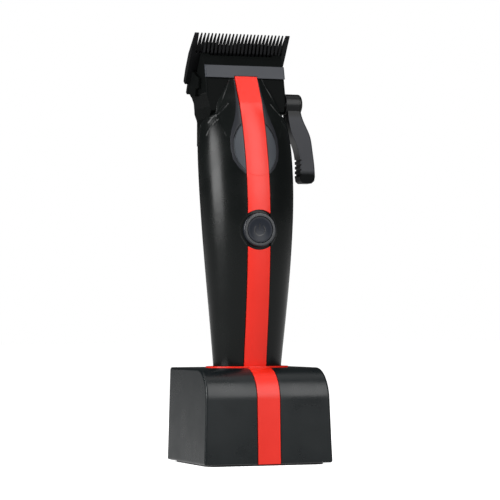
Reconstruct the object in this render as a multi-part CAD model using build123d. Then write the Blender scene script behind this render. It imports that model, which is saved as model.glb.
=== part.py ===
"""Cordless hair clipper with a taper lever, standing in its charging stand.

Millimetres. The origin is the centre of the stand's underside, +Z is up, -Y is the
front (the side with the stripe and the button) and +X is the side with the lever.
"""
from build123d import *
import math
import os

# ---------------------------------------------------------------- driving dimensions
# charging stand
STAND_WIDTH = 61.0
STAND_DEPTH = 55.0
STAND_TOP = 43.5
STAND_BOTTOM = 0.8            # underside of the moulding, above the foot pad
STAND_ROUND = 14.0            # radius of the front top edge
STAND_SIDE_TAPER = 0.035      # each side leans in by this much per mm of height
STAND_FRONT_TAPER = 0.027
STAND_WALL = 2.6
STAND_SCREWS = [(x, y) for x in (-23.5, 23.5) for y in (-20.0, 20.5)]
PIN_X, PIN_Y, PIN_R = 4.0, 2.8, 1.0   # charging pins in the socket floor
SOCKET_FLOOR = 13.6           # top of the socket's floor
SOCKET_GAP = 0.5              # all round the clipper
SOCKET_WALL = 1.4
COLLAR_TOP = 44.2
COLLAR_HALF = (19.4, 14.5)    # half width and half depth of the collar
COLLAR_MID_Y = 2.1

# clipper body: each station is height, half width, front, back
BODY_STATIONS = [
    (14.0, 13.7, -6.0, 11.6),
    (30.0, 14.95, -7.6, 12.5),
    (47.0, 16.3, -9.7, 13.4),
    (65.0, 17.9, -12.3, 14.4),
    (85.0, 19.7, -14.6, 15.8),
    (105.0, 21.2, -15.7, 17.4),
    (123.0, 22.1, -15.35, 18.9),
    (137.0, 22.3, -13.4, 20.0),
    (144.0, 22.15, -11.8, 20.5),
    (151.0, 21.5, -9.9, 20.9),
    (158.0, 20.4, -7.5, 21.2),
    (166.0, 18.8, -4.1, 21.3),
]
WALL = 2.4
SPLIT_Y = 5.0                 # parting plane of the two half shells
SEAM = 0.1                    # gap left at each parting line
TAIL_TOP = 27.0               # the tail cap ends here
SHOULDER_Z = 160.6            # height of the shoulder plane at Y = 0
SHOULDER_TILT = 37.0          # degrees that the shoulder drops towards the back
SHOULDER_RISE = math.cos(math.radians(SHOULDER_TILT))
RIM_ROUND = 2.2
HOUSING_SCREWS = [(-7.0, 41.0), (7.0, 41.0), (-15.5, 121.0), (15.5, 121.0)]   # X and Z
SCREW_SEAT_Y = 8.4            # the screw heads rest here, inside their counterbores

# stripe, oval plate and button on the front
STRIPE_HALF = 5.3
GROOVE = 0.3
STRIPE_DEPTH = 0.8
STRIPE_PROUD = 0.2
STRIPE_TOP = 177.2
OVAL_MID_Z = 143.6
OVAL_HALF = (10.2, 13.0)
BUTTON_Z = 106.0
BEZEL_R = 7.7
BUTTON_R = 5.9
BUTTON_GAP = 0.25
MOAT_R = 9.1                  # the stripe stops short of the button here
BEZEL_FRONT = -16.7

# blade set; s runs from the tips to the heel, w runs inwards from the sliding plane
BLADE_TILT = 35.0             # degrees from upright
TIP_Y, TIP_Z = 5.9, 197.0
COMB_HALF = 23.2
COMB_LENGTH = 32.4
COMB_THICK = 3.5
TOOTH_PITCH = 1.72
TOOTH_GAP = 0.85
TIP_FLARE = 0.22              # each gap widens by this much per side at the tips
TIP_FLARE_END = 4.0
COMB_TOOTH_LENGTH = 10.5
COMB_GAPS = 25
CUTTER_HALF = 18.0
CUTTER_SETBACK = 4.6          # cutter tips behind the comb tips, lever open
CUTTER_BACK = 19.0
CUTTER_THICK = 1.7
CUTTER_GAPS = 19
CUTTER_TOOTH_END = 12.0
SLIDE_GAP = 0.04              # between comb and cutter
COMB_SCREW_X, COMB_SCREW_S = 15.6, 27.4
SPRING_X, SPRING_R = 7.3, 0.5
SPRING_W = 4.91               # depth of the spring's wire behind the sliding plane
YOKE_HALF = 5.5

# head
HEAD_HALF = 19.4
HEAD_WALL = 2.2
NECK_HALF = 17.4
HEAD_WINDOWS = [(12.6, 167.5), (10.2, 170.0), (8.2, 172.0)]   # half width and top of the openings behind the tongue
BAR_BOTTOM, BAR_TOP = 176.5, 182.3
LIP_TOP = 185.8
# raised tongue of the front shell: height, half width, front and back of its oval section
TONGUE_STATIONS = [
    (148.0, 19.6, -8.4, 18.0), (154.0, 19.2, -7.6, 18.5), (160.0, 18.8, -6.6, 19.4),
    (166.0, 18.5, -3.87, 22.0), (172.0, 18.4, -0.63, 27.0), (178.0, 18.4, 2.61, 30.0),
]
TONGUE_WALL = 1.8

# drive
MOTOR_Y = 6.0
MOTOR_R = 10.0
MOTOR_BOTTOM, MOTOR_TOP = 126.5, 153.0
ECCENTRIC = 1.25
CELL_R, CELL_LENGTH = 9.2, 65.0
CELL_Y, CELL_BOTTOM = 1.3, 58.0

# taper lever
LEVER_Y, LEVER_Z = 6.0, 165.2
LEVER_SWING = 50.0
CRANK = 3.55                  # gives 3 mm of blade travel over the swing
HUB_R = 4.75
SHAFT_R = 2.0
SHAFT_GAP = 0.05


# ---------------------------------------------------------------- helpers
def block(x0, x1, y0, y1, z0, z1):
    """A box given by its two corners."""
    return Pos((x0 + x1) / 2, (y0 + y1) / 2, (z0 + z1) / 2) * Box(x1 - x0, y1 - y0, z1 - z0)


def rod_x(x0, x1, y, z, radius):
    return Pos((x0 + x1) / 2, y, z) * Rot(0, 90, 0) * Cylinder(radius, x1 - x0)


def rod_y(y0, y1, x, z, radius):
    return Pos(x, (y0 + y1) / 2, z) * Rot(90, 0, 0) * Cylinder(radius, y1 - y0)


def rod_z(z0, z1, x, y, radius):
    return Pos(x, y, (z0 + z1) / 2) * Cylinder(radius, z1 - z0)


def side_plate(points, x0, x1):
    """A plate across X whose outline is given in Y and Z."""
    face = make_face(Polyline(*[(0, y, z) for y, z in points], close=True))
    return Pos(x0, 0, 0) * extrude(face, amount=x1 - x0, dir=(1, 0, 0))


def oval(half_width, front, back, z):
    """A level oval face given by its half width, front and back."""
    return Pos(0, (front + back) / 2, z) * make_face(Ellipse(half_width, (back - front) / 2).edges())


def oval_column(half_width, front, back, bottom, height):
    """An upright oval column."""
    return extrude(oval(half_width, front, back, bottom), amount=height, dir=(0, 0, 1))


def body_form(grow=0.0):
    """The clipper body's outer form, moved outwards by grow."""
    return loft([oval(half_width + grow, front - grow, back + grow, z)
                 for z, half_width, front, back in BODY_STATIONS])


def blade_point(s, w):
    """Y and Z of a point given along the blade and inwards from its sliding plane."""
    tilt = math.radians(BLADE_TILT)
    y = TIP_Y + s * math.sin(tilt) - w * math.cos(tilt)
    z = TIP_Z - s * math.cos(tilt) - w * math.sin(tilt)
    return y, z


def blade_plate(outline, x0, x1):
    """A plate across X whose outline is given as (s, w) pairs."""
    return side_plate([blade_point(s, w) for s, w in outline], x0, x1)


def tooth_gap(x, root, w0, w1):
    """One gap between teeth: flared at the tips, pointed at its root."""
    narrow = TOOTH_GAP / 2
    wide = narrow + TIP_FLARE
    outline = [(x - wide, 0, 1.0), (x + wide, 0, 1.0), (x + narrow, 0, -TIP_FLARE_END),
               (x + narrow, 0, -root), (x, 0, -root - narrow), (x - narrow, 0, -root), (x - narrow, 0, -TIP_FLARE_END)]
    face = Pos(0, -w0, 0) * make_face(Polyline(*outline, close=True))
    return Pos(0, TIP_Y, TIP_Z) * Rot(BLADE_TILT, 0, 0) * extrude(face, amount=w1 - w0, dir=(0, -1, 0))


def above_shoulder(shift=0.0):
    """The half space above the tilted shoulder plane."""
    return Pos(0, 0, SHOULDER_Z + shift) * Rot(-SHOULDER_TILT, 0, 0) * Pos(0, 0, 60) * Box(120, 160, 120)


def stand_block(inset, bottom):
    """The stand's outer form, drawn in by inset on every face but the bottom."""
    top = STAND_TOP - inset
    back = STAND_DEPTH / 2 - inset
    front = -STAND_DEPTH / 2 + inset
    radius = STAND_ROUND - inset
    lean = STAND_FRONT_TAPER * (top - radius - bottom)
    front_top = front + lean
    middle = (front_top + radius * (1 - math.sqrt(0.5)), top - radius * (1 - math.sqrt(0.5)))
    outline = [
        Line((0, front, bottom), (0, front_top, top - radius)),
        ThreePointArc((0, front_top, top - radius), (0, *middle), (0, front_top + radius, top)),
        Line((0, front_top + radius, top), (0, back - 0.8, top)),
        Line((0, back - 0.8, top), (0, back, top - 0.8)),
        Line((0, back, top - 0.8), (0, back, bottom)),
        Line((0, back, bottom), (0, front, bottom)),
    ]
    half = STAND_WIDTH / 2 - inset
    form = Pos(-half, 0, 0) * extrude(make_face(outline), amount=2 * half, dir=(1, 0, 0))
    narrow = 2 * (half - STAND_SIDE_TAPER * (top - bottom))
    sides = loft([
        Plane(origin=(0, 0, bottom)) * Rectangle(2 * half, 80),
        Plane(origin=(0, 0, top)) * Rectangle(narrow, 80),
    ])
    return form & sides


def screw_z(x, y, head_bottom, head_top, tip, head_r, shank_r):
    """A screw driven upwards, with a cross recess in its head."""
    screw = rod_z(head_bottom, head_top, x, y, head_r) + rod_z(head_top, tip, x, y, shank_r)
    for turn in (0, 90):
        screw -= Pos(x, y, head_bottom) * Rot(0, 0, turn) * Box(head_r * 1.2, 0.6, 1.2)
    return screw


def screw_y(x, z, tip, head_front, head_back, head_r, shank_r):
    """A screw driven forwards from the back."""
    screw = rod_y(head_front, head_back, x, z, head_r) + rod_y(tip, head_front, x, z, shank_r)
    for turn in (0, 90):
        screw -= Pos(x, head_back, z) * Rot(0, turn, 0) * Box(head_r * 1.2, 1.2, 0.6)
    return screw


def group(solids):
    return Compound(children=solids)


def head_front(z):
    """Y of the tongue's sloping front line at a height."""
    return -7.6 + 0.54 * (z - 159.1)


def flat_front(z):
    """Y of the head's nearly upright flat front at a height."""
    return 2.9 + 0.22 * (z - BAR_BOTTOM)


def tongue_form(inset):
    """The raised tongue under the stripe, from inside the body up to the bar."""
    return loft([oval(half_width - inset, front + inset, back - inset, z)
                 for z, half_width, front, back in TONGUE_STATIONS])


def front_tongue():
    """Shell of the tongue; it stands on the head's flat front."""
    shell = tongue_form(0) - tongue_form(TONGUE_WALL)
    shell &= side_plate([
        (-30, 149.0), (-2.0, 149.0), (flat_front(158.0) - 0.05, 158.0),
        (flat_front(BAR_BOTTOM) - 0.05, BAR_BOTTOM - 0.05), (-30, BAR_BOTTOM - 0.05),
    ], -30, 30)
    return shell & neck_form()


# ---------------------------------------------------------------- shared forms
outer = body_form(0) - above_shoulder()
shoulder_face = outer.faces().filter_by(lambda f: abs(f.normal_at().Z - SHOULDER_RISE) < 0.02)
outer = fillet(shoulder_face.edges(), RIM_ROUND)
inner = body_form(-WALL)
stripe_outer = body_form(STRIPE_PROUD)
stripe_inner = body_form(-STRIPE_DEPTH)
channel_inner = body_form(-STRIPE_DEPTH - 0.1)
stripe_channel = block(-STRIPE_HALF - GROOVE, STRIPE_HALF + GROOVE, -60, 0, 0, 200) - channel_inner
plate_outer = body_form(0.1)
plate_inner = body_form(-1.5)
pocket_inner = body_form(-1.6)
socket_form = body_form(SOCKET_GAP)
socket_outer = body_form(SOCKET_GAP + SOCKET_WALL)
upper_space = above_shoulder()
front_space = block(-60, 60, -60, 0, 0, 200)
boss_space = body_form(-WALL + 0.3)


# ---------------------------------------------------------------- charging stand
def stand_housing():
    hollow = stand_block(STAND_WALL, STAND_BOTTOM - 1)
    shell = stand_block(0, STAND_BOTTOM)
    sides = shell.faces().sort_by(Axis.X)
    low_edges = shell.edges().filter_by(
        lambda e: e.length > 50 and e.center().Z < STAND_BOTTOM + 0.1 and abs(e.center().Y) > 27)
    shell = fillet(sides[0].edges() + sides[-1].edges() + low_edges, 1.0)
    shell -= hollow
    for x, y in STAND_SCREWS:
        boss = rod_z(3.0, STAND_TOP - 2, x, y, 3.2) & stand_block(1.0, STAND_BOTTOM)
        shell += boss
        shell -= rod_z(2.0, 13.0, x, y, 1.25)
    # opening for the socket, a ledge for its collar and a channel for the stripe
    half_width, half_depth = COLLAR_HALF
    shell -= oval_column(half_width - 1.1, COLLAR_MID_Y - half_depth + 1.1, COLLAR_MID_Y + half_depth - 1.1, 30, 30)
    shell -= oval_column(half_width + 0.1, COLLAR_MID_Y - half_depth - 0.1, COLLAR_MID_Y + half_depth + 0.1,
                         STAND_TOP - 1.1, 5)
    channel = block(-STRIPE_HALF - GROOVE, STRIPE_HALF + GROOVE, -60, -10.5, -1, 60)
    shell -= channel - stand_block(1.2, STAND_BOTTOM - 2)
    # inlet window in the back wall
    shell -= block(-6.2, 6.2, 20, 30, 4.9, 10.6)
    return shell


def stand_stripe():
    band = stand_block(-0.15, STAND_BOTTOM) - stand_block(1.1, STAND_BOTTOM - 2)
    end = COLLAR_MID_Y - COLLAR_HALF[1] - 0.1
    return band & block(-STRIPE_HALF, STRIPE_HALF, -60, end - 0.2, 0, 60)


def socket_liner():
    """The red collar and the socket's sleeve and floor, moulded in one piece."""
    sleeve = socket_outer & block(-40, 40, -40, 40, 0, STAND_TOP - 0.5)
    _, tail_half, tail_front, tail_back = BODY_STATIONS[0]
    grown = SOCKET_GAP + SOCKET_WALL
    sleeve += oval_column(tail_half + grown, tail_front - grown, tail_back + grown, SOCKET_FLOOR - 2.4, 4)
    half_width, half_depth = COLLAR_HALF
    collar = oval_column(half_width, COLLAR_MID_Y - half_depth, COLLAR_MID_Y + half_depth,
                         STAND_TOP - 1.0, COLLAR_TOP - STAND_TOP + 1.0)
    collar = fillet(collar.edges().group_by(Axis.Z)[-1], 0.3)
    liner = sleeve + collar
    bore = socket_form & block(-40, 40, -40, 40, SOCKET_FLOOR, 60)
    bore += oval_column(tail_half + SOCKET_GAP, tail_front - SOCKET_GAP, tail_back + SOCKET_GAP, SOCKET_FLOOR, 1)
    liner -= bore
    for x in (-PIN_X, PIN_X):
        liner -= rod_z(0, 20, x, PIN_Y, PIN_R + 0.3)
    return liner


def stand_base_plate():
    half_x = STAND_WIDTH / 2 - STAND_WALL - 0.2
    half_y = STAND_DEPTH / 2 - STAND_WALL - 0.4
    plate = block(-half_x, half_x, -half_y, half_y, STAND_BOTTOM, 2.8)
    for x, y in STAND_SCREWS:
        plate -= rod_z(0, 5, x, y, 1.5)
        plate -= rod_z(0, 1.9, x, y, 2.7)
    # posts that carry the contact board
    for x in (-16, 16):
        plate += rod_z(2.8, 5.0, x, 2.8, 2.0)
    return plate


def stand_foot_pad():
    return extrude(RectangleRounded(56.0, 50.0, 5.0), amount=STAND_BOTTOM - 0.05)


def stand_screws():
    return group([screw_z(x, y, 0.8, 1.85, 11.0, 2.5, 1.2) for x, y in STAND_SCREWS])


def stand_board():
    board = block(-19, 19, -9, 21.0, 5.05, 6.25)
    for x in (-12, -7, 8, 13):
        board += block(x - 1.5, x + 1.5, -6.5, -4.5, 6.25, 7.2)
    return board


def contact_block():
    body = block(-8, 8, PIN_Y - 3, PIN_Y + 3, 6.3, 10.9)
    for x in (-PIN_X, PIN_X):
        body -= rod_z(6, 12, x, PIN_Y, PIN_R + 0.08)
    return body


def charge_pin(x):
    pin = rod_z(7.3, 12.6, x, PIN_Y, PIN_R)
    pin += Pos(x, PIN_Y, 12.97) * Sphere(PIN_R)
    return pin


def power_inlet():
    """A flat two-row inlet let into the back of the stand, with its tongue."""
    shell = block(-6.0, 6.0, 21.2, 27.3, 5.1, 10.4)
    shell = fillet(shell.edges().filter_by(Axis.Y), 1.6)
    slot = Pos(0, 25.5, 7.75) * Rot(90, 0, 0) * extrude(RectangleRounded(8.9, 3.2, 1.55), amount=3, both=True)
    shell -= slot
    return shell + block(-3.3, 3.3, 21.5, 26.6, 7.4, 8.1)


# ---------------------------------------------------------------- clipper shells
def front_housing():
    shell = (outer - inner) & block(-60, 60, -60, SPLIT_Y - SEAM / 2, TAIL_TOP + SEAM, 200)
    for x, z in HOUSING_SCREWS:
        boss = rod_y(-30, SPLIT_Y - SEAM, x, z, 3.0) & boss_space
        shell += boss
        shell -= rod_y(-4, 10, x, z, 1.2)
    shell -= upper_space
    shell += front_tongue()
    shell -= side_plate([
        (-30, 160.0), (head_front(160) + 0.85, 160.0), (head_front(178) + 0.85, 178), (-30, 178),
    ], -STRIPE_HALF - GROOVE, STRIPE_HALF + GROOVE)
    # channel for the stripe, pocket for the oval plate and the button's opening
    shell -= stripe_channel
    shell -= oval_prism(0.12) - pocket_inner
    shell -= rod_y(-40, -3, 0, BUTTON_Z, BEZEL_R + 0.05)
    return shell


def rear_housing():
    shell = (outer - inner) & block(-60, 60, SPLIT_Y + SEAM / 2, 60, TAIL_TOP + SEAM, 200)
    for x, z in HOUSING_SCREWS:
        boss = rod_y(SPLIT_Y + SEAM, 30, x, z, 3.6) & boss_space
        shell += boss
        shell -= rod_y(0, 30, x, z, 1.5)
        shell -= rod_y(SCREW_SEAT_Y, 40, x, z, 2.7)
    return shell - upper_space


def oval_prism(grow):
    face = Ellipse(OVAL_HALF[0] + grow, OVAL_HALF[1] + grow)
    return Pos(0, 0, OVAL_MID_Z) * Rot(90, 0, 0) * extrude(face, amount=40)


def oval_plate():
    plate = (plate_outer - plate_inner) & oval_prism(0)
    return plate - stripe_channel


def front_stripe():
    """The red strip: one piece below the button and one above, up over the head."""
    band = (stripe_outer - stripe_inner) & front_space
    band &= block(-STRIPE_HALF, STRIPE_HALF, -60, 0, TAIL_TOP + 0.2, 200)
    band -= rod_y(-40, 0, 0, BUTTON_Z, MOAT_R)
    band -= above_shoulder(-0.05)
    head_run = side_plate([
        (head_front(162.4) - STRIPE_PROUD, 162.4), (head_front(STRIPE_TOP) - STRIPE_PROUD, STRIPE_TOP),
        (head_front(STRIPE_TOP) + 0.75, STRIPE_TOP), (head_front(161.2) + 0.75, 161.2),
    ], -STRIPE_HALF, STRIPE_HALF) & above_shoulder(-0.05)
    return band + head_run


def tail_cap():
    """Lower end of the clipper, with two windows for the charging contacts."""
    cap = outer & block(-60, 60, -60, 60, 0, TAIL_TOP)
    cap -= inner & block(-60, 60, -60, 60, 16.5, 60)
    cap = fillet(cap.edges().group_by(Axis.Z)[0], 1.2)
    cap -= block(-STRIPE_HALF - GROOVE, STRIPE_HALF + GROOVE, -60, 0, 20, 60) - channel_inner
    for x in (-PIN_X, PIN_X):
        cap -= rod_z(0, 30, x, PIN_Y, 2.0)
    return cap


def tail_stripe():
    return (stripe_outer - stripe_inner) & block(-STRIPE_HALF, STRIPE_HALF, -60, 0, 20.2, TAIL_TOP)


def contact_pads():
    pads = []
    for x in (-PIN_X, PIN_X):
        pads.append(rod_z(14.0, 17.0, x, PIN_Y, 1.95) + rod_z(16.6, 17.6, x, PIN_Y, 2.6))
    return group(pads)


def housing_screws():
    return group([screw_y(x, z, -3.0, SCREW_SEAT_Y, SCREW_SEAT_Y + 2.0, 2.5, 1.15) for x, z in HOUSING_SCREWS])


# ---------------------------------------------------------------- button
def button_bezel():
    ring = rod_y(BEZEL_FRONT, -12.4, 0, BUTTON_Z, BEZEL_R)
    ring = fillet(ring.edges().group_by(Axis.Y)[0], 0.6)
    ring -= rod_y(-30, 0, 0, BUTTON_Z, BUTTON_R + BUTTON_GAP)
    return ring


def power_button():
    button = rod_y(-16.5, -13.2, 0, BUTTON_Z, BUTTON_R)
    button -= Pos(0, -16.5 - 18.6, BUTTON_Z) * Sphere(19.3)
    return button + rod_y(-13.2, -12.4, 0, BUTTON_Z, 1.6)


def switch_board():
    board = block(-6, 6, -9.6, -8.6, BUTTON_Z - 9, BUTTON_Z + 9)
    board += block(-3, 3, -11.4, -9.6, BUTTON_Z - 3, BUTTON_Z + 3)
    return board


# ---------------------------------------------------------------- inside the body
def battery_cell():
    cell = rod_z(CELL_BOTTOM, CELL_BOTTOM + CELL_LENGTH - 1.5, 0, CELL_Y, CELL_R)
    cell = fillet(cell.edges(), 0.6)
    return cell + rod_z(CELL_BOTTOM + CELL_LENGTH - 1.6, CELL_BOTTOM + CELL_LENGTH, 0, CELL_Y, 3.0)


def battery_cradle():
    cup = rod_z(CELL_BOTTOM - 1.5, CELL_BOTTOM + CELL_LENGTH - 3, 0, CELL_Y, CELL_R + 1.1)
    cup -= rod_z(CELL_BOTTOM, CELL_BOTTOM + CELL_LENGTH, 0, CELL_Y, CELL_R + 0.05)
    cup -= block(-20, 20, -20, CELL_Y + 3, CELL_BOTTOM, 140)
    return cup & body_form(-WALL - 0.1)


def main_board():
    board = block(11.4, 12.6, -4.0, 7.0, 62.0, 112.0)
    for z in (70, 84, 98):
        board += block(12.6, 14.2, -2, 4, z, z + 6)
    return board


def motor_can():
    can = rod_z(MOTOR_BOTTOM, MOTOR_TOP, 0, MOTOR_Y, MOTOR_R)
    can = fillet(can.edges(), 1.0)
    can += rod_z(MOTOR_TOP - 0.1, MOTOR_TOP + 1.4, 0, MOTOR_Y, 3.4)
    can -= rod_z(MOTOR_BOTTOM + 3, MOTOR_TOP + 5, 0, MOTOR_Y, 1.2)
    can -= rod_z(MOTOR_BOTTOM + 4.0, MOTOR_TOP - 4.0, 0, MOTOR_Y, MOTOR_R - 2.2)
    return can


def motor_mount():
    """A plate across the neck that the motor is screwed to."""
    plate = body_form(-WALL - 0.15) & block(-60, 60, -60, 60, MOTOR_TOP + 0.02, MOTOR_TOP + 2.4)
    plate -= rod_z(100, 200, 0, MOTOR_Y, 3.5)
    for x in (-7, 7):
        plate -= rod_z(100, 200, x, MOTOR_Y, 1.3)
    # clear of the tongue's root
    plate -= block(-60, 60, -60, -1.0, 150, 160) - tongue_form(TONGUE_WALL + 0.15)
    return plate - above_shoulder(-0.3)


def motor_screws():
    return group([
        rod_z(MOTOR_TOP + 2.42, MOTOR_TOP + 4.0, x, MOTOR_Y, 2.2)
        + rod_z(MOTOR_TOP + 0.05, MOTOR_TOP + 2.42, x, MOTOR_Y, 1.2) for x in (-7, 7)
    ])


def motor_rotor():
    """Armature, shaft and the cam with its eccentric pin."""
    shaft_top = 161.5
    rotor = rod_z(MOTOR_BOTTOM + 4.6, MOTOR_TOP - 4.6, 0, MOTOR_Y, MOTOR_R - 2.8)
    rotor += rod_z(MOTOR_BOTTOM + 4.1, shaft_top, 0, MOTOR_Y, 1.13)
    rotor += rod_z(157.5, shaft_top, 0, MOTOR_Y, 3.3)
    rotor += rod_z(shaft_top - 0.1, 171.0, 0, MOTOR_Y - ECCENTRIC, 1.0)
    return rotor


# ---------------------------------------------------------------- head
def neck_form():
    """Front view of the head: straight flanks above, drawn in to the neck below."""
    half = [(NECK_HALF, 140.0), (NECK_HALF, 158.0), (NECK_HALF + 0.7, 163.0),
            (HEAD_HALF - 0.2, 169.0), (HEAD_HALF + 1.6, 171.9), (HEAD_HALF + 1.6, 210.0)]
    outline = [(x, 0, z) for x, z in half] + [(-x, 0, z) for x, z in reversed(half)]
    return Pos(0, 60, 0) * extrude(make_face(Polyline(*outline, close=True)), amount=120, dir=(0, -1, 0))


def head_frame():
    """Black wedge between the body's shoulder and the blades, open towards them."""
    heel = blade_point(COMB_LENGTH, 0.03)
    top = blade_point(9.0, 0.03)
    wedge = side_plate([
        (flat_front(146.0), 146.0), (flat_front(BAR_TOP), BAR_TOP), (6.6, LIP_TOP), top, heel,
        (22.2, 166.0), (23.6, 161.0), (21.2, 157.0), (21.4, 146.0),
    ], -HEAD_HALF, HEAD_HALF)
    wedge = fillet(wedge.edges().filter_by(
        lambda e: e.length > 25 and e.center().Y < 3 and abs(e.center().X) > HEAD_HALF - 0.1), 1.2)
    wedge -= side_plate([(-9, BAR_BOTTOM), (3.0, BAR_BOTTOM), (4.4, BAR_TOP), (-9, BAR_TOP)], -30, 30)
    # the flanks draw in below the blades to a narrower neck
    wedge &= neck_form()
    wedge &= above_shoulder(SEAM)
    cavity = side_plate([
        (flat_front(140.0) + HEAD_WALL, 140.0), (flat_front(BAR_TOP) + HEAD_WALL, BAR_TOP), (8.0, 186.5),
        blade_point(6.0, -2.0), blade_point(40.0, -2.0), (19.0, 168.0), (19.0, 140.0),
    ], -NECK_HALF + HEAD_WALL, NECK_HALF - HEAD_WALL)
    # windows into the hollow tongue, for the crank and the fork
    for half_width, top_z in HEAD_WINDOWS:
        cavity += block(-half_width, half_width, -8, 6, 140, top_z)
    heel_bar = blade_plate([(30.4, 0.03), (COMB_LENGTH, 0.03), (COMB_LENGTH, 5.5), (30.4, 4.0)], -18, 18)
    wedge -= cavity - heel_bar
    # room beside the cutter, open at both flanks
    wedge -= blade_plate([(-5, -1), (20.6, -1), (20.6, 2.3), (-5, 2.3)], -30, 30)
    for side in (-1, 1):
        x0, x1 = sorted((side * 13.2, side * (HEAD_HALF - 0.5)))
        wedge += blade_plate([(24.5, 0.03), (31.0, 0.03), (31.0, 4.8), (24.5, 4.8)], x0, x1)
        wedge -= blade_hole(side * COMB_SCREW_X, COMB_SCREW_S, 1.25)
        # stepped ledges on the flanks that a guide comb clips over
        x0, x1 = sorted((side * (HEAD_HALF - 0.5), side * (HEAD_HALF + 1.5)))
        wedge += side_plate([(8.5, 176.5), blade_point(20, 0.03), blade_point(31, 0.03), (19.0, 168.5),
                             (13.0, 168.5), (13.0, 172.0), (8.5, 172.0)], x0, x1)
    wedge -= rod_x(HEAD_HALF - 5, HEAD_HALF + 5, LEVER_Y, LEVER_Z, SHAFT_R + SHAFT_GAP)
    wedge -= side_plate([
        (-20, 150), (head_front(150) + 0.85, 150), (head_front(178) + 0.85, 178), (-20, 178),
    ], -STRIPE_HALF - GROOVE, STRIPE_HALF + GROOVE)
    wedge -= block(-STRIPE_HALF - GROOVE, STRIPE_HALF + GROOVE, -5, 2.9, 174, STRIPE_TOP + 0.2)
    return wedge


def blade_hole(x, s, radius):
    """A long bar square to the blade, used to cut screw holes."""
    return blade_bar(x, s, -10, 10, radius)


def blade_bar(x, s, w0, w1, radius):
    y, z = blade_point(s, (w0 + w1) / 2)
    return Pos(x, y, z) * Rot(-(90 - BLADE_TILT), 0, 0) * Cylinder(radius, w1 - w0)


def front_bar():
    """Light bar across the front of the head."""
    bar = side_plate([(2.0, BAR_BOTTOM + 0.02), (3.4, BAR_TOP - 0.02), (4.35, BAR_TOP - 0.02),
                      (2.95, BAR_BOTTOM + 0.02)], -HEAD_HALF, HEAD_HALF)
    bar = fillet(bar.edges().filter_by(
        lambda e: e.length > 4 and e.center().Y < 2.8 and abs(e.center().X) > HEAD_HALF - 0.1), 0.6)
    return bar - block(-STRIPE_HALF - GROOVE, STRIPE_HALF + GROOVE, -5, 5, 174, STRIPE_TOP + 0.2)


def comb_blade():
    """Fixed blade: the outer face is bevelled towards the tips and the heel."""
    blade = blade_plate([
        (0.0, 0.0), (0.0, -0.5), (12.5, -COMB_THICK), (21.0, -COMB_THICK),
        (COMB_LENGTH, -1.8), (COMB_LENGTH, 0.0),
    ], -COMB_HALF, COMB_HALF)
    for index in range(COMB_GAPS):
        x = (index - (COMB_GAPS - 1) / 2) * TOOTH_PITCH
        blade -= tooth_gap(x, COMB_TOOTH_LENGTH, -5, 1)
    for side in (-1, 1):
        blade -= blade_hole(side * COMB_SCREW_X, COMB_SCREW_S, 1.6)
        blade -= blade_bar(side * COMB_SCREW_X, COMB_SCREW_S, -10, -2.0, 3.1)
        # corners cut off beside the heel
        x0, x1 = sorted((side * (COMB_HALF - 2.0), side * (COMB_HALF + 1)))
        blade -= blade_plate([(27.0, 1), (27.0, -5), (40, -5), (40, 1)], x0, x1)
    return blade


def blade_screws():
    screws = []
    for side in (-1, 1):
        x = side * COMB_SCREW_X
        screw = blade_bar(x, COMB_SCREW_S, -3.4, -2.02, 2.9) + blade_bar(x, COMB_SCREW_S, -2.1, 4.0, 1.2)
        y, z = blade_point(COMB_SCREW_S, -3.4)
        screw -= Pos(x, y, z) * Rot(-(90 - BLADE_TILT), 0, 0) * Box(6.5, 0.8, 1.4)
        screws.append(screw)
    return group(screws)


# ---------------------------------------------------------------- moving blade
def cutter_blade():
    low, high = SLIDE_GAP, SLIDE_GAP + CUTTER_THICK
    blade = blade_plate([
        (CUTTER_SETBACK, low), (CUTTER_BACK, low), (CUTTER_BACK, high), (9.0, high), (CUTTER_SETBACK, low + 0.5),
    ], -CUTTER_HALF, CUTTER_HALF)
    pitch = (2 * CUTTER_HALF - TOOTH_GAP) / CUTTER_GAPS
    for index in range(CUTTER_GAPS):
        x = (index - (CUTTER_GAPS - 1) / 2) * pitch
        blade -= tooth_gap(x, CUTTER_TOOTH_END, -1, 3)
    return blade


def drive_yoke():
    """Plastic piece on the cutter; its open fork reaches down round the eccentric pin."""
    high = SLIDE_GAP + CUTTER_THICK
    pad = blade_plate([(13.2, high), (CUTTER_BACK - 0.2, high), (CUTTER_BACK - 0.2, 4.2), (13.8, 4.2)], -9, 9)
    leg = side_plate([(10.9, 164.2), (12.9, 164.2), (12.9, 183.4), (10.9, 183.9)], -YOKE_HALF, YOKE_HALF)
    leg &= blade_plate([(0, high), (60, high), (60, 60), (0, 60)], -20, 20)
    prongs = block(-YOKE_HALF, YOKE_HALF, 3.4, 12.9, 164.2, 167.2) - block(-3.9, 3.9, 0, 10.9, 160, 170)
    return pad + leg + prongs


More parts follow.
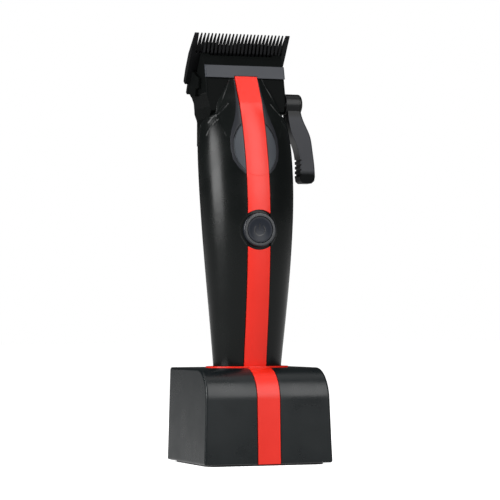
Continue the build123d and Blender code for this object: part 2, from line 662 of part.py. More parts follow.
def blade_carriage():
    """Slider that the lever lifts; it guides the cutter and carries its spring."""
    frame = blade_plate([(19.6, 0.4), (24.0, 0.4), (24.0, 4.4), (15.6, 4.4), (15.6, 1.95), (19.6, 1.95)], -12.6, 12.6)
    frame -= blade_plate([(10, -1), (30, -1), (30, 9), (10, 9)], -10.4, 10.4) & blade_plate(
        [(10, -1), (21.5, -1), (21.5, 9), (10, 9)], -10.4, 10.4)
    pin_y, pin_z = crank_pin()
    top_y, top_z = blade_point(22.5, 4.2)
    arm = side_plate([
        (pin_y - 3.0, pin_z + 0.2), (pin_y - 0.4, pin_z - 2.9), (pin_y + 3.2, pin_z - 1.0),
        (top_y + 1.6, top_z - 1.0), (top_y - 0.9, top_z + 0.6),
    ], 8.0, 9.8)
    frame += arm
    tilt = math.radians(BLADE_TILT)
    slot = []
    for along, across in ((-1.25, -1.8), (1.25, -1.8), (1.25, 1.8), (-1.25, 1.8)):
        slot.append((pin_y - along * math.sin(tilt) + across * math.cos(tilt),
                     pin_z + along * math.cos(tilt) + across * math.sin(tilt)))
    return frame - side_plate(slot, 7, 12)


def cutter_spring():
    """Two bent wire legs that press the cutter on the comb."""
    legs = []
    for x in (-SPRING_X, SPRING_X):
        y0, z0 = blade_point(22.7, SPRING_W)
        y1, z1 = blade_point(15.7, SPRING_W)
        run = math.hypot(y1 - y0, z1 - z0)
        legs.append(Pos(x, (y0 + y1) / 2, (z0 + z1) / 2) * Rot(BLADE_TILT, 0, 0) * Cylinder(SPRING_R, run))
    y0, z0 = blade_point(22.5, SPRING_W)
    return legs[0] + legs[1] + rod_x(-SPRING_X, SPRING_X, y0, z0, SPRING_R)


# ---------------------------------------------------------------- taper lever
def crank_pin():
    """Y and Z of the crank pin with the lever open."""
    tilt = math.radians(BLADE_TILT)
    start = math.radians(-LEVER_SWING / 2)
    y = -math.cos(tilt) * CRANK
    z = -math.sin(tilt) * CRANK
    return (LEVER_Y + y * math.cos(start) + z * math.sin(start),
            LEVER_Z + z * math.cos(start) - y * math.sin(start))


def lever_shaft():
    pin_y, pin_z = crank_pin()
    shaft = rod_x(12.0, 25.4, LEVER_Y, LEVER_Z, SHAFT_R)
    shaft += rod_x(10.2, 12.2, LEVER_Y, LEVER_Z, 2.8)
    web = side_plate([
        (pin_y - 1.3, pin_z + 0.9), (pin_y + 0.9, pin_z - 1.6), (LEVER_Y + 2.4, LEVER_Z - 1.2),
        (LEVER_Y - 1.6, LEVER_Z + 2.2),
    ], 10.2, 12.2)
    return shaft + web + rod_x(7.7, 10.4, pin_y, pin_z, 1.0)


def taper_lever():
    """Hub round the shaft and an arm that steps outwards as it hangs down."""
    hub = rod_x(19.8, 26.2, LEVER_Y, LEVER_Z, HUB_R)
    inner_edge = [(20.6, 163.5), (21.4, 157.0), (22.7, 151.6), (24.9, 146.5), (26.4, 141.0), (26.7, 135.0),
                  (26.6, 131.6)]
    outer_edge = [(34.3, 131.6), (34.0, 137.0), (33.1, 144.0), (31.9, 150.5), (29.0, 156.8), (27.2, 163.5)]
    face = make_face([
        Spline(*[(x, 0, z) for x, z in inner_edge]),
        Line((26.6, 0, 131.6), (27.0, 0, 129.4)),
        Line((27.0, 0, 129.4), (28.2, 0, 128.5)),
        Line((28.2, 0, 128.5), (32.6, 0, 128.5)),
        Line((32.6, 0, 128.5), (33.9, 0, 129.6)),
        Line((33.9, 0, 129.6), (34.3, 0, 131.6)),
        Spline(*[(x, 0, z) for x, z in outer_edge]),
        Line((27.2, 0, 163.5), (20.6, 0, 163.5)),
    ])
    arm = Pos(0, LEVER_Y + 3.5, 0) * extrude(face, amount=7.0, dir=(0, -1, 0))
    arm = fillet(arm.edges().filter_by(
        lambda e: e.center().X > 31 and abs(e.center().Y - LEVER_Y) > 3.4), 0.8)
    lever = hub + arm
    lever -= rod_x(19, 25.5, LEVER_Y, LEVER_Z, SHAFT_R + 0.02)
    lever -= rod_x(26.2, 40, LEVER_Y, LEVER_Z, HUB_R + 0.05)
    for step in range(4):
        z = 132.6 + step * 2.2
        lever -= Pos(26.4 + 0.5, LEVER_Y, z) * Box(0.8, 8, 0.8)
    return lever


def lever_cap():
    cap = rod_x(26.22, 27.9, LEVER_Y, LEVER_Z, HUB_R)
    return fillet(cap.edges().group_by(Axis.X)[-1], 1.2)


# ---------------------------------------------------------------- build and write
parts = {
    "stand_housing": stand_housing(),
    "stand_stripe": stand_stripe(),
    "socket_liner": socket_liner(),
    "stand_base_plate": stand_base_plate(),
    "stand_foot_pad": stand_foot_pad(),
    "stand_screws": stand_screws(),
    "stand_board": stand_board(),
    "contact_block": contact_block(),
    "charge_pin_left": charge_pin(-PIN_X),
    "charge_pin_right": charge_pin(PIN_X),
    "power_inlet": power_inlet(),
    "front_housing": front_housing(),
    "rear_housing": rear_housing(),
    "oval_plate": oval_plate(),
    "front_stripe": front_stripe(),
    "tail_cap": tail_cap(),
    "tail_stripe": tail_stripe(),
    "contact_pads": contact_pads(),
    "housing_screws": housing_screws(),
    "button_bezel": button_bezel(),
    "power_button": power_button(),
    "switch_board": switch_board(),
    "battery_cell": battery_cell(),
    "battery_cradle": battery_cradle(),
    "main_board": main_board(),
    "motor_can": motor_can(),
    "motor_mount": motor_mount(),
    "motor_screws": motor_screws(),
    "motor_rotor": motor_rotor(),
    "head_frame": head_frame(),
    "front_bar": front_bar(),
    "comb_blade": comb_blade(),
    "blade_screws": blade_screws(),
    "cutter_blade": cutter_blade(),
    "drive_yoke": drive_yoke(),
    "blade_carriage": blade_carriage(),
    "cutter_spring": cutter_spring(),
    "lever_shaft": lever_shaft(),
    "taper_lever": taper_lever(),
    "lever_cap": lever_cap(),
}

os.makedirs("parts", exist_ok=True)
for name, part in parts.items():
    export_step(part, f"parts/{name}.step")
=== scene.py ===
"""Cordless hair clipper in its charging stand: materials, small surface detail and studio."""

import math

import bpy
from mathutils import Matrix, Vector
from mathutils.bvhtree import BVHTree


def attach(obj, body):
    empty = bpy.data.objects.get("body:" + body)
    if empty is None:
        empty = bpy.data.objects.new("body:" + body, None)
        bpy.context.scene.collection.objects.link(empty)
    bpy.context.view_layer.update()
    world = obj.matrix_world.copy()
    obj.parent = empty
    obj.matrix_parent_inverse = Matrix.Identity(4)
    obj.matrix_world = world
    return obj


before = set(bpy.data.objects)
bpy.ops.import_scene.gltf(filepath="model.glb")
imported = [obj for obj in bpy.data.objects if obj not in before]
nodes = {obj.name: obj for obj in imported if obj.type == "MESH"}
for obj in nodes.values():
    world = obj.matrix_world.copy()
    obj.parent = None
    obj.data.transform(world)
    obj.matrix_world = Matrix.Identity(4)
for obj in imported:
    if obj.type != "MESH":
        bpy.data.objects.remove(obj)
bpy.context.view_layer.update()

MM = 0.001
EDGE_SOFTENING = 0.25 * MM      # radius that the materials give to sharp edges


# ---------------------------------------------------------------- materials
def shader_links(material):
    tree = material.node_tree
    return tree.nodes, tree.links, tree.nodes["Principled BSDF"]


def new_material(name, **constants):
    """A material whose shader's named sockets hold constant values."""
    material = bpy.data.materials.new(name)
    material.use_nodes = True
    shader = material.node_tree.nodes["Principled BSDF"]
    for socket, value in constants.items():
        shader.inputs[socket.replace("_", " ")].default_value = value
    return material


def texture_place(material, scale=(1, 1, 1), turn=(0, 0, 0)):
    """Object-space coordinates, scaled and turned."""
    made, links, _ = shader_links(material)
    coordinates = made.new("ShaderNodeTexCoord")
    mapping = made.new("ShaderNodeMapping")
    mapping.inputs["Scale"].default_value = scale
    mapping.inputs["Rotation"].default_value = turn
    links.new(coordinates.outputs["Object"], mapping.inputs["Vector"])
    return mapping.outputs["Vector"]


def noise(material, place, scale, detail=3.0, roughness=0.55):
    made, links, _ = shader_links(material)
    texture = made.new("ShaderNodeTexNoise")
    texture.inputs["Scale"].default_value = scale
    texture.inputs["Detail"].default_value = detail
    texture.inputs["Roughness"].default_value = roughness
    links.new(place, texture.inputs["Vector"])
    return texture.outputs["Fac"]


def spread(material, value, low, high, start=0.3, end=0.7):
    """Maps a 0 to 1 value onto a range of numbers."""
    made, links, _ = shader_links(material)
    ranged = made.new("ShaderNodeMapRange")
    ranged.inputs["From Min"].default_value = start
    ranged.inputs["From Max"].default_value = end
    ranged.inputs["To Min"].default_value = low
    ranged.inputs["To Max"].default_value = high
    links.new(value, ranged.inputs["Value"])
    return ranged.outputs["Result"]


def tint(material, value, dark, light):
    """A colour that runs between two shades."""
    made, links, shader = shader_links(material)
    ramp = made.new("ShaderNodeValToRGB")
    ramp.color_ramp.elements[0].position = 0.3
    ramp.color_ramp.elements[1].position = 0.7
    ramp.color_ramp.elements[0].color = (*dark, 1)
    ramp.color_ramp.elements[1].color = (*light, 1)
    links.new(value, ramp.inputs["Fac"])
    links.new(ramp.outputs["Color"], shader.inputs["Base Color"])


def bump(material, heights, strength, distance):
    """Bump from a list of height values, fine to coarse."""
    made, links, shader = shader_links(material)
    rounded = made.new("ShaderNodeBevel")
    rounded.samples = 4
    rounded.inputs["Radius"].default_value = EDGE_SOFTENING
    normal = rounded.outputs["Normal"]
    for height in heights:
        node = made.new("ShaderNodeBump")
        node.inputs["Strength"].default_value = strength
        node.inputs["Distance"].default_value = distance
        links.new(height, node.inputs["Height"])
        links.new(normal, node.inputs["Normal"])
        normal = node.outputs["Normal"]
    links.new(normal, shader.inputs["Normal"])


def moulded(name, colour, roughness, grain=1500.0, depth=0.00001, vary=0.12, spread_by=0.05,
            **constants):
    """Moulded plastic: fine spark-eroded grain, slight mottling in colour and gloss."""
    material = new_material(name, **constants)
    _, links, shader = shader_links(material)
    place = texture_place(material)
    fine = noise(material, place, grain, 2.0)
    cloud = noise(material, place, 55.0, 4.0)
    tint(material, cloud, [c * (1 - vary) for c in colour], [c * (1 + vary) for c in colour])
    gloss = spread(material, cloud, roughness - spread_by, roughness + spread_by)
    links.new(gloss, shader.inputs["Roughness"])
    bump(material, [fine], 0.35, depth)
    return material


def ground_steel(name, colour, roughness, along, metallic=1.0, lines=900.0, **constants):
    """Metal ground in one direction; along is the scale that stretches the scratches."""
    material = new_material(name, Metallic=metallic, **constants)
    _, links, shader = shader_links(material)
    place = texture_place(material, scale=along)
    scratch = noise(material, place, lines, 4.0, 0.7)
    patch = noise(material, texture_place(material), 90.0, 3.0)
    tint(material, patch, [c * 0.82 for c in colour], [c * 1.12 for c in colour])
    gloss = spread(material, scratch, roughness - 0.07, roughness + 0.09)
    links.new(gloss, shader.inputs["Roughness"])
    bump(material, [scratch], 0.25, 0.00001)
    return material


def circuit_board(name):
    """Green board with lighter green tracks showing under the mask."""
    material = new_material(name, Roughness=0.35)
    _, links, shader = shader_links(material)
    made = material.node_tree.nodes
    brick = made.new("ShaderNodeTexBrick")
    brick.inputs["Color1"].default_value = (0.012, 0.09, 0.035, 1)
    brick.inputs["Color2"].default_value = (0.016, 0.12, 0.05, 1)
    brick.inputs["Mortar"].default_value = (0.03, 0.2, 0.07, 1)
    brick.inputs["Scale"].default_value = 260.0
    brick.inputs["Mortar Size"].default_value = 0.06
    links.new(texture_place(material, turn=(0.2, 0.3, 0.0)), brick.inputs["Vector"])
    links.new(brick.outputs["Color"], shader.inputs["Base Color"])
    bump(material, [brick.outputs["Fac"]], 0.3, 0.00005)
    return material


def dark_ends(material, colour, low, high):
    """Darkens a part below and above two heights; each is where the change starts and ends.

    The lower end also turns matt.
    """
    made, links, shader = shader_links(material)
    base = shader.inputs["Base Color"].links[0].from_socket
    coordinates = made.new("ShaderNodeTexCoord")
    split = made.new("ShaderNodeSeparateXYZ")
    links.new(coordinates.outputs["Object"], split.inputs["Vector"])
    below = spread(material, split.outputs["Z"], 1.0, 0.0, *low)
    above = spread(material, split.outputs["Z"], 0.0, 1.0, *high)
    both = made.new("ShaderNodeMath")
    both.operation = "MAXIMUM"
    links.new(below, both.inputs[0])
    links.new(above, both.inputs[1])
    mix = made.new("ShaderNodeMix")
    mix.data_type = "RGBA"
    next(i for i in mix.inputs if i.name == "B" and i.enabled).default_value = (*colour, 1)
    for name, source in (("Factor", both.outputs[0]), ("A", base)):
        links.new(source, next(i for i in mix.inputs if i.name == name and i.enabled))
    links.new(next(o for o in mix.outputs if o.enabled), shader.inputs["Base Color"])
    gloss = shader.inputs["Specular IOR Level"]
    links.new(spread(material, below, gloss.default_value, 0.02, 0.0, 1.0), gloss)


black = moulded("body_black", (0.0042, 0.0052, 0.0050), 0.25, Specular_IOR_Level=0.21)
head_black = moulded("head_black", (0.0042, 0.0048, 0.0047), 0.30, Specular_IOR_Level=0.01)
stand_black = moulded("stand_black", (0.0042, 0.0066, 0.0076), 0.29, grain=1100.0, depth=0.000012,
                      Specular_IOR_Level=0.32)
red = moulded("red", (0.74, 0.017, 0.006), 0.34, grain=1300.0, vary=0.04, Specular_IOR_Level=0.36)
grey_trim = moulded("grey_trim", (0.052, 0.058, 0.067), 0.36, grain=1700.0, vary=0.08,
                    Specular_IOR_Level=0.28)
# lighter grey standing in for light caught on the lip outside the groove, beside the stripe and round the
# oval plate: a painted highlight
painted_lip_highlight = moulded("painted_lip_highlight", (0.016, 0.017, 0.021), 0.40, grain=1700.0, vary=0.08,
                    Specular_IOR_Level=0.25)
# near-black and matt: painted shade standing in for the dark inside the groove round the oval plate
groove_painted_shade = moulded("groove_painted_shade", (0.0012, 0.0014, 0.0015), 0.60, Specular_IOR_Level=0.0)
bar_grey = moulded("bar_grey", (0.026, 0.029, 0.036), 0.40, grain=1700.0, vary=0.08,
                   Specular_IOR_Level=0.25)
bezel_grey = moulded("bezel_grey", (0.0085, 0.0105, 0.0145), 0.26, vary=0.1, Specular_IOR_Level=0.5)
button_grey = moulded("button_grey", (0.0110, 0.0140, 0.0210), 0.34, vary=0.1,
                      Specular_IOR_Level=0.2)
mark_grey = moulded("mark_grey", (0.0035, 0.0042, 0.0060), 0.28, vary=0.06, Specular_IOR_Level=0.5)
lever_grey = moulded("lever_grey", (0.021, 0.0225, 0.028), 0.34, vary=0.1, Specular_IOR_Level=0.22)
LEVER_TIP = (0.1325, 0.1345)    # the darkening fades out between these heights (m)
LEVER_HUB = (0.1585, 0.1605)    # and back in between these
dark_ends(lever_grey, (0.0045, 0.005, 0.0055), low=LEVER_TIP, high=LEVER_HUB)
inner_plastic = moulded("inner_plastic", (0.05, 0.05, 0.052), 0.5, grain=700.0, depth=0.00003)
rubber = moulded("rubber", (0.013, 0.013, 0.014), 0.75, grain=450.0, depth=0.00006)
cell_wrap = moulded("cell_wrap", (0.03, 0.16, 0.32), 0.3, vary=0.06)
screw_steel = ground_steel("screw_steel", (0.16, 0.16, 0.165), 0.32, (1, 1, 1), lines=1400.0)
motor_steel = ground_steel("motor_steel", (0.55, 0.56, 0.58), 0.3, (0.2, 0.2, 2.0))
spring_steel = ground_steel("spring_steel", (0.48, 0.48, 0.5), 0.28, (1, 1, 0.2))
blade_black = ground_steel("blade_black", (0.012, 0.0125, 0.0135), 0.34, (0.12, 1.0, 1.0), metallic=0.6,
                          Specular_IOR_Level=0.2)
gold = ground_steel("gold_contact", (0.85, 0.6, 0.24), 0.22, (1, 1, 1))
board_green = circuit_board("circuit_board")

NODE_MATERIALS = {
    "stand_housing": stand_black, "stand_stripe": red, "socket_liner": red,
    "stand_base_plate": inner_plastic, "stand_foot_pad": rubber, "stand_screws": screw_steel,
    "stand_board": board_green, "contact_block": inner_plastic, "charge_pin_left": gold,
    "charge_pin_right": gold, "power_inlet": inner_plastic, "front_housing": black,
    "rear_housing": black, "oval_plate": grey_trim, "front_stripe": red, "tail_cap": black,
    "tail_stripe": red, "contact_pads": gold, "housing_screws": screw_steel,
    "button_bezel": bezel_grey, "power_button": button_grey, "switch_board": board_green,
    "battery_cell": cell_wrap, "battery_cradle": inner_plastic, "main_board": board_green,
    "motor_can": motor_steel, "motor_mount": inner_plastic, "motor_screws": screw_steel,
    "motor_rotor": motor_steel, "head_frame": head_black, "front_bar": bar_grey,
    "comb_blade": blade_black, "blade_screws": screw_steel, "cutter_blade": blade_black,
    "drive_yoke": inner_plastic, "blade_carriage": inner_plastic, "cutter_spring": spring_steel,
    "lever_shaft": motor_steel, "taper_lever": lever_grey, "lever_cap": black,
}
for node, material in NODE_MATERIALS.items():
    slots = nodes[node].data.materials
    slots.clear()
    slots.append(material)


# ---------------------------------------------------------------- thin pieces laid on the surfaces
# lengths in mm
STRIPE_HALF = 5.3
STRIPE_EDGE = 5.6               # the stripe and the gap beside it
STRIPE_RUN = (146.0, 177.1)     # the stripe's upper run
NECK = (147.0, 176.3)
# heights over which the painted highlight runs beside the stripe and round the oval plate
LIP_HIGHLIGHT_RUN = (131.6, 176.0)
OVAL_MID_Z, OVAL_HALF_X, OVAL_HALF_Z = 143.6, 10.2, 13.0
BUTTON_Z = 106.0
MOAT_MID_R = 9.0
MARK_R = 2.5
IN_FRONT_Y = -0.1               # rays to the surface start here (m)


def surface(*names):
    """The faces of the named nodes as one tree, for laying thin pieces on them."""
    corners, faces = [], []
    for name in names:
        piece = bpy.data.objects[name]
        first = len(corners)
        corners += [piece.matrix_world @ vertex.co for vertex in piece.data.vertices]
        faces += [[first + index for index in polygon.vertices] for polygon in piece.data.polygons]
    return BVHTree.FromPolygons(corners, faces)


def laid(tree, x, z, lift):
    """The point on the front of the surface at x and z (mm), lifted by lift."""
    hit = tree.ray_cast(Vector((x * MM, IN_FRONT_Y, z * MM)), Vector((0, 1, 0)))[0]
    return hit + Vector((0, -lift * MM, 0))


def piece_of(name, points, faces, material, body):
    """A smooth-shaded mesh that rides on a body."""
    mesh = bpy.data.meshes.new(name)
    mesh.from_pydata([tuple(point) for point in points], [], faces)
    mesh.polygons.foreach_set("use_smooth", [True] * len(mesh.polygons))
    mesh.materials.append(material)
    shape = bpy.data.objects.new(name, mesh)
    bpy.context.collection.objects.link(shape)
    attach(shape, body)


def grid_faces(rows, columns):
    """The quads between rows of points."""
    return [(r * columns + c, r * columns + c + 1, (r + 1) * columns + c + 1, (r + 1) * columns + c)
            for r in range(rows - 1) for c in range(columns - 1)]


def ribbon(tree, path, width, profile):
    """A narrow band along a path of (x, z) in mm; profile lists the lifts across it."""
    points = []
    for index, (x, z) in enumerate(path):
        x0, z0 = path[max(index - 1, 0)]
        x1, z1 = path[min(index + 1, len(path) - 1)]
        run = math.hypot(x1 - x0, z1 - z0)
        across = ((z1 - z0) / run, -(x1 - x0) / run)
        for step, lift in enumerate(profile):
            offset = (step / (len(profile) - 1) - 0.5) * width
            points.append(laid(tree, x + across[0] * offset, z + across[1] * offset, lift))
    return points, grid_faces(len(path), len(profile))


def joined(strips):
    """Several (points, faces) strips as one."""
    points, faces = [], []
    for strip_points, strip_faces in strips:
        faces += [tuple(index + len(points) for index in face) for face in strip_faces]
        points += strip_points
    return points, faces


def between(table, value):
    """Reads a table of (input, output) pairs, straight between the entries."""
    for (a0, b0), (a1, b1) in zip(table, table[1:]):
        if value <= a1:
            t = (value - a0) / (a1 - a0)
            return b0 + (b1 - b0) * t
    return table[-1][1]


SKIN_STEP = 0.6                 # height of a row of a skin
SKIN_COLUMNS = 26
SKIN_OWN_WEIGHT = 0.4           # how much a point keeps of its depth in each round of easing
SKIN_FADE_ROWS = 4              # rows over which the sheet rises from the surface
SKIN_EDGE_COLUMNS = 2.0         # columns over which its outer edge is raised


def skin(name, tree, across, heights, edge, lift, material, rounds=40, sides=(-1, 1)):
    """A smooth sheet laid over the joints in a surface.

    across(z) gives its inner and outer x on the +X side, heights its lowest and highest z.
    The sheet starts as the surface's own shape and is eased until no step shows through.
    """
    low, high = heights
    rows = int((high - low) / SKIN_STEP) + 1
    columns = SKIN_COLUMNS
    sheets = []
    for side in sides:
        spots, base = [], []
        for row in range(rows):
            z = low + (high - low) * row / (rows - 1)
            inner, outer = across(z)
            for column in range(columns):
                x = side * (inner + (outer - inner) * column / (columns - 1))
                spots.append((x, z))
                base.append(laid(tree, x, z, 0.0).y / MM)
        depth = list(base)
        for _ in range(rounds):
            eased = list(depth)
            for row in range(1, rows - 1):
                for column in range(columns):
                    here = row * columns + column
                    beside = [depth[here - columns], depth[here + columns]]
                    if 0 < column < columns - 1:
                        beside += [depth[here - 1], depth[here + 1]]
                    mean = sum(beside) / len(beside)
                    own = SKIN_OWN_WEIGHT
                    eased[here] = min(base[here], own * depth[here] + (1 - own) * mean)
            depth = eased
        points = []
        for index, ((x, z), y) in enumerate(zip(spots, depth)):
            row, column = divmod(index, columns)
            blend = min(1.0, row / SKIN_FADE_ROWS)
            from_edge = (columns - 1 - column) / SKIN_EDGE_COLUMNS
            rise = blend * (lift + edge * max(0.0, 1 - from_edge))
            points.append(Vector((x * MM, (y - rise) * MM, z * MM)))
        sheets.append((points, grid_faces(rows, columns)))
    points, faces = joined(sheets)
    piece_of(name, points, faces, material, "clipper")


def stripe_skin():
    """The stripe's upper run as one smooth strip over the joint at the shoulder."""
    tree = surface("front_stripe")
    skin("stripe_run", tree, lambda z: (-STRIPE_HALF, STRIPE_HALF), STRIPE_RUN, 0.0, 0.04, red,
         rounds=60, sides=(1,))


def neck_skin():
    """The neck between body and bar, bounded by the ridge that runs down to each shoulder."""
    tree = surface("front_housing", "head_frame")
    ridge = [(147.0, 12.5), (151.0, 14.0), (155.0, 15.4), (158.8, 15.8), (162.8, 14.2), (166.0, 12.6),
             (169.5, 11.0), (173.0, 9.4), (176.4, 7.9)]
    inner = STRIPE_EDGE + 0.02
    skin("neck_skin", tree, lambda z: (inner, between(ridge, z)), NECK, 0.25, 0.05, black)


def lay_lip_highlights():
    """Painted highlight: grey bands beside the stripe, standing in for light caught on the lip outside
    its groove, that widen round the oval plate.
    """
    tree = surface("front_housing", "head_frame", "oval_plate", "neck_skin")
    outer = [(131.5, 6.0), (134.0, 8.6), (138.0, 10.9), (143.0, 11.6), (148.0, 11.4), (152.0, 10.4),
             (156.0, 8.9), (160.0, 7.7), (165.0, 6.9), (170.0, 6.35), (176.0, 5.95)]
    count, columns = 90, 6
    low, high = LIP_HIGHLIGHT_RUN
    strips = []
    for side in (-1, 1):
        points = []
        for row in range(count):
            z = low + (high - low) * row / (count - 1)
            reach = 1 - ((z - OVAL_MID_Z) / OVAL_HALF_Z) ** 2
            inner = max(STRIPE_EDGE, OVAL_HALF_X * math.sqrt(reach) + 0.2 if reach > 0 else 0)
            far = max(between(outer, z), inner + 0.05)
            for column in range(columns):
                x = inner + (far - inner) * column / (columns - 1)
                lift = 0.12 * math.sin(math.pi * (0.1 + 0.9 * column / (columns - 1)))
                points.append(laid(tree, side * x, z, lift))
        strips.append((points, grid_faces(count, columns)))
    points, faces = joined(strips)
    piece_of("oval_lip_highlight", points, faces, painted_lip_highlight, "clipper")


def around(middle_z, half_x, half_z, angles):
    """Points (x, z) on an ellipse; the angles, in degrees, run from the top towards +X."""
    return [(half_x * math.sin(math.radians(angle)), middle_z + half_z * math.cos(math.radians(angle)))
            for angle in angles]


def oval_path(grown, start, end, count=40):
    """An arc of the oval plate's outline, moved out by grown."""
    angles = [start + (end - start) * k / (count - 1) for k in range(count)]
    return around(OVAL_MID_Z, OVAL_HALF_X + grown, OVAL_HALF_Z + grown, angles)


def oval_groove_shade():
    """Painted shade: a near-black band laid where the groove round the oval plate lies, on both sides of
    the stripe.
    """
    tree = surface("front_housing", "oval_plate", "head_frame", "neck_skin")
    strips = [ribbon(tree, oval_path(0.05, start, end), 0.60, (0.12, 0.13, 0.12))
              for start, end in ((34, 146), (-34, -146))]
    points, faces = joined(strips)
    piece_of("oval_groove_shade", points, faces, groove_painted_shade, "clipper")


def stripe_arc():
    """A fine moulded line that carries the oval's lower edge across the stripe."""
    tree = surface("front_stripe", "stripe_run")
    points, faces = ribbon(tree, oval_path(0.0, 150.5, 209.5, 24), 0.45, (0.0, 0.09, 0.0))
    piece_of("stripe_arc", points, faces, red, "clipper")


def power_mark():
    """A plain power mark on the button: an open ring and an upright line."""
    tree = surface("power_button")
    ring = around(BUTTON_Z - 0.2, MARK_R, MARK_R, range(42, 319, 6))
    upright = [(0.0, BUTTON_Z + 0.3 + 0.25 * k) for k in range(11)]
    points, faces = joined([ribbon(tree, path, 0.5, (0.0, 0.07, 0.0)) for path in (ring, upright)])
    piece_of("power_mark", points, faces, mark_grey, "button")


def moat():
    """The shallow raised ring in the shell round the button, on both sides of the stripe."""
    tree = surface("front_housing")
    arcs = [around(BUTTON_Z, MOAT_MID_R, MOAT_MID_R, range(start, start + 101, 5)) for start in (40, 220)]
    points, faces = joined([ribbon(tree, path, 0.55, (0.0, 0.10, 0.0)) for path in arcs])
    piece_of("button_moat", points, faces, black, "clipper")


def shoulder_creases():
    """Two fine ridges that run down over each shoulder from the neck."""
    tree = surface("front_housing", "rear_housing", "neck_skin", "head_frame")
    profile = (-0.1, 0.22, 0.36, 0.22, -0.1)
    lines = [
        [(10.5, 164.5), (12.2, 162.6), (14.0, 160.8), (15.9, 159.0), (17.6, 157.4), (18.6, 156.3),
         (19.6, 155.2)],
        [(15.2, 156.8), (16.6, 155.4), (17.9, 153.9), (19.1, 152.2), (20.0, 150.4), (20.5, 149.2)],
    ]
    strips = []
    for side in (-1, 1):
        for line, width in zip(lines, (1.5, 1.1)):
            dense = []
            for (x0, z0), (x1, z1) in zip(line, line[1:]):
                dense += [(side * (x0 + (x1 - x0) * k / 5), z0 + (z1 - z0) * k / 5) for k in range(5)]
            strips.append(ribbon(tree, dense, width, profile))
    points, faces = joined(strips)
    piece_of("shoulder_creases", points, faces, black, "clipper")


stripe_skin()
neck_skin()
shoulder_creases()
lay_lip_highlights()
moat()
oval_groove_shade()
stripe_arc()
power_mark()


# ---------------------------------------------------------------- floor, lights and camera
def floor():
    """A white table that fills the picture's lower half."""
    mesh = bpy.data.meshes.new("floor")
    half = 6.0
    corners = [(-half, -half, 0), (half, -half, 0), (half, half, 0), (-half, half, 0)]
    mesh.from_pydata(corners, [], [(0, 1, 2, 3)])
    slab = bpy.data.objects.new("floor", mesh)
    bpy.context.collection.objects.link(slab)
    material = new_material("floor", Roughness=0.9, Specular_IOR_Level=0.0)
    made, links, shader = shader_links(material)
    cloud = noise(material, texture_place(material), 3.0)
    tint(material, cloud, (0.96, 0.96, 0.96), (0.98, 0.98, 0.98))
    # a table that glows evenly for the camera; the object sees it dimmer
    path = made.new("ShaderNodeLightPath")
    lit = made.new("ShaderNodeEmission")
    lit.inputs["Strength"].default_value = 0.80
    table = made.new("ShaderNodeAddShader")
    links.new(lit.outputs[0], table.inputs[0])
    links.new(shader.outputs[0], table.inputs[1])
    dim = made.new("ShaderNodeEmission")
    dim.inputs["Strength"].default_value = 0.70
    mix = made.new("ShaderNodeMixShader")
    links.new(path.outputs["Is Camera Ray"], mix.inputs[0])
    links.new(dim.outputs[0], mix.inputs[1])
    links.new(table.outputs[0], mix.inputs[2])
    links.new(mix.outputs[0], made["Material Output"].inputs["Surface"])
    mesh.materials.append(material)


def area_light(name, middle, away, width, height, power):
    """A rectangular light at middle that faces against away."""
    data = bpy.data.lights.new(name, "AREA")
    data.shape = "RECTANGLE"
    data.size = width
    data.size_y = height
    data.energy = power
    lamp = bpy.data.objects.new(name, data)
    lamp.location = middle
    lamp.rotation_mode = "QUATERNION"
    lamp.rotation_quaternion = away.to_track_quat("Z", "Y")
    bpy.context.collection.objects.link(lamp)


def direction(azimuth, elevation=0.0):
    a, e = math.radians(azimuth), math.radians(elevation)
    return Vector((math.sin(a) * math.cos(e), -math.cos(a) * math.cos(e), math.sin(e)))


def softbox(name, azimuth, elevation, distance, width, height, power):
    """A light that faces the middle of the clipper."""
    away = direction(azimuth, elevation)
    area_light(name, Vector((0, 0, 0.11)) + away * distance, away, width, height, power)


def panel(name, azimuth, distance, low, high, width, radiance):
    """An upright light panel round the object, given by its lower and upper edges."""
    away = direction(azimuth)
    middle = away * distance + Vector((0, 0, (low + high) / 2))
    power = radiance * math.pi * width * (high - low)
    area_light(name, middle, away, width, high - low, power)


def overhead(strength):
    """Very soft light from straight above."""
    data = bpy.data.lights.new("overhead", "SUN")
    data.energy = strength
    data.angle = math.radians(50)
    lamp = bpy.data.objects.new("overhead", data)
    lamp.location = (0, 0, 2)
    bpy.context.collection.objects.link(lamp)


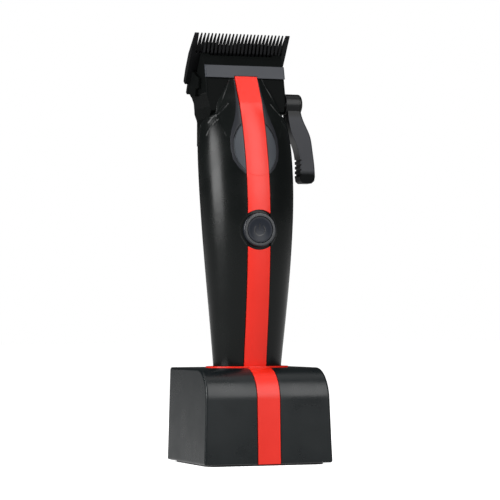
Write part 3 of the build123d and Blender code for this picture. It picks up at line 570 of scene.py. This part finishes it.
def studio_world(backdrop, around):
    """White backdrop for the picture and a dim room round the object."""
    world = bpy.data.worlds.new("studio")
    world.use_nodes = True
    made, links = world.node_tree.nodes, world.node_tree.links
    made.clear()
    seen = made.new("ShaderNodeBackground")
    seen.inputs["Color"].default_value = (1, 1, 1, 1)
    seen.inputs["Strength"].default_value = backdrop
    room = made.new("ShaderNodeBackground")
    room.inputs["Color"].default_value = (1, 1, 1, 1)
    room.inputs["Strength"].default_value = around
    path = made.new("ShaderNodeLightPath")
    mix = made.new("ShaderNodeMixShader")
    output = made.new("ShaderNodeOutputWorld")
    links.new(path.outputs["Is Camera Ray"], mix.inputs[0])
    links.new(room.outputs[0], mix.inputs[1])
    links.new(seen.outputs[0], mix.inputs[2])
    links.new(mix.outputs[0], output.inputs["Surface"])
    bpy.context.scene.world = world


def camera():
    """Lens and stance fitted to the edges of the stand and the clipper."""
    data = bpy.data.cameras.new("camera")
    data.sensor_width = 36.0
    data.lens = 170.2
    data.shift_x = 0.002
    data.clip_start, data.clip_end = 0.05, 30.0
    eye = bpy.data.objects.new("camera", data)
    azimuth, pitch, roll = math.radians(-19.637), math.radians(1.771), math.radians(-0.255)
    distance = 1.0817
    eye.location = (distance * math.sin(azimuth), -distance * math.cos(azimuth) - 0.0013, 0.0638)
    ahead = Vector((-math.sin(azimuth) * math.cos(pitch), math.cos(azimuth) * math.cos(pitch),
                    math.sin(pitch)))
    turn = ahead.to_track_quat("-Z", "Y").to_matrix() @ Matrix.Rotation(roll, 3, "Z")
    eye.rotation_euler = turn.to_euler()
    bpy.context.collection.objects.link(eye)
    bpy.context.scene.camera = eye


floor()
overhead(0.7)
panel("key", azimuth=20, distance=0.90, low=0.160, high=1.60, width=0.55, radiance=4.8)
panel("left_panel", azimuth=-74, distance=0.75, low=0.132, high=0.56, width=0.40, radiance=11.5)
softbox("shoulder_glint", azimuth=-95, elevation=42, distance=0.8, width=0.10, height=0.10, power=1.3)
studio_world(backdrop=1.0, around=0.05)
camera()
bpy.context.scene.view_settings.view_transform = "Standard"
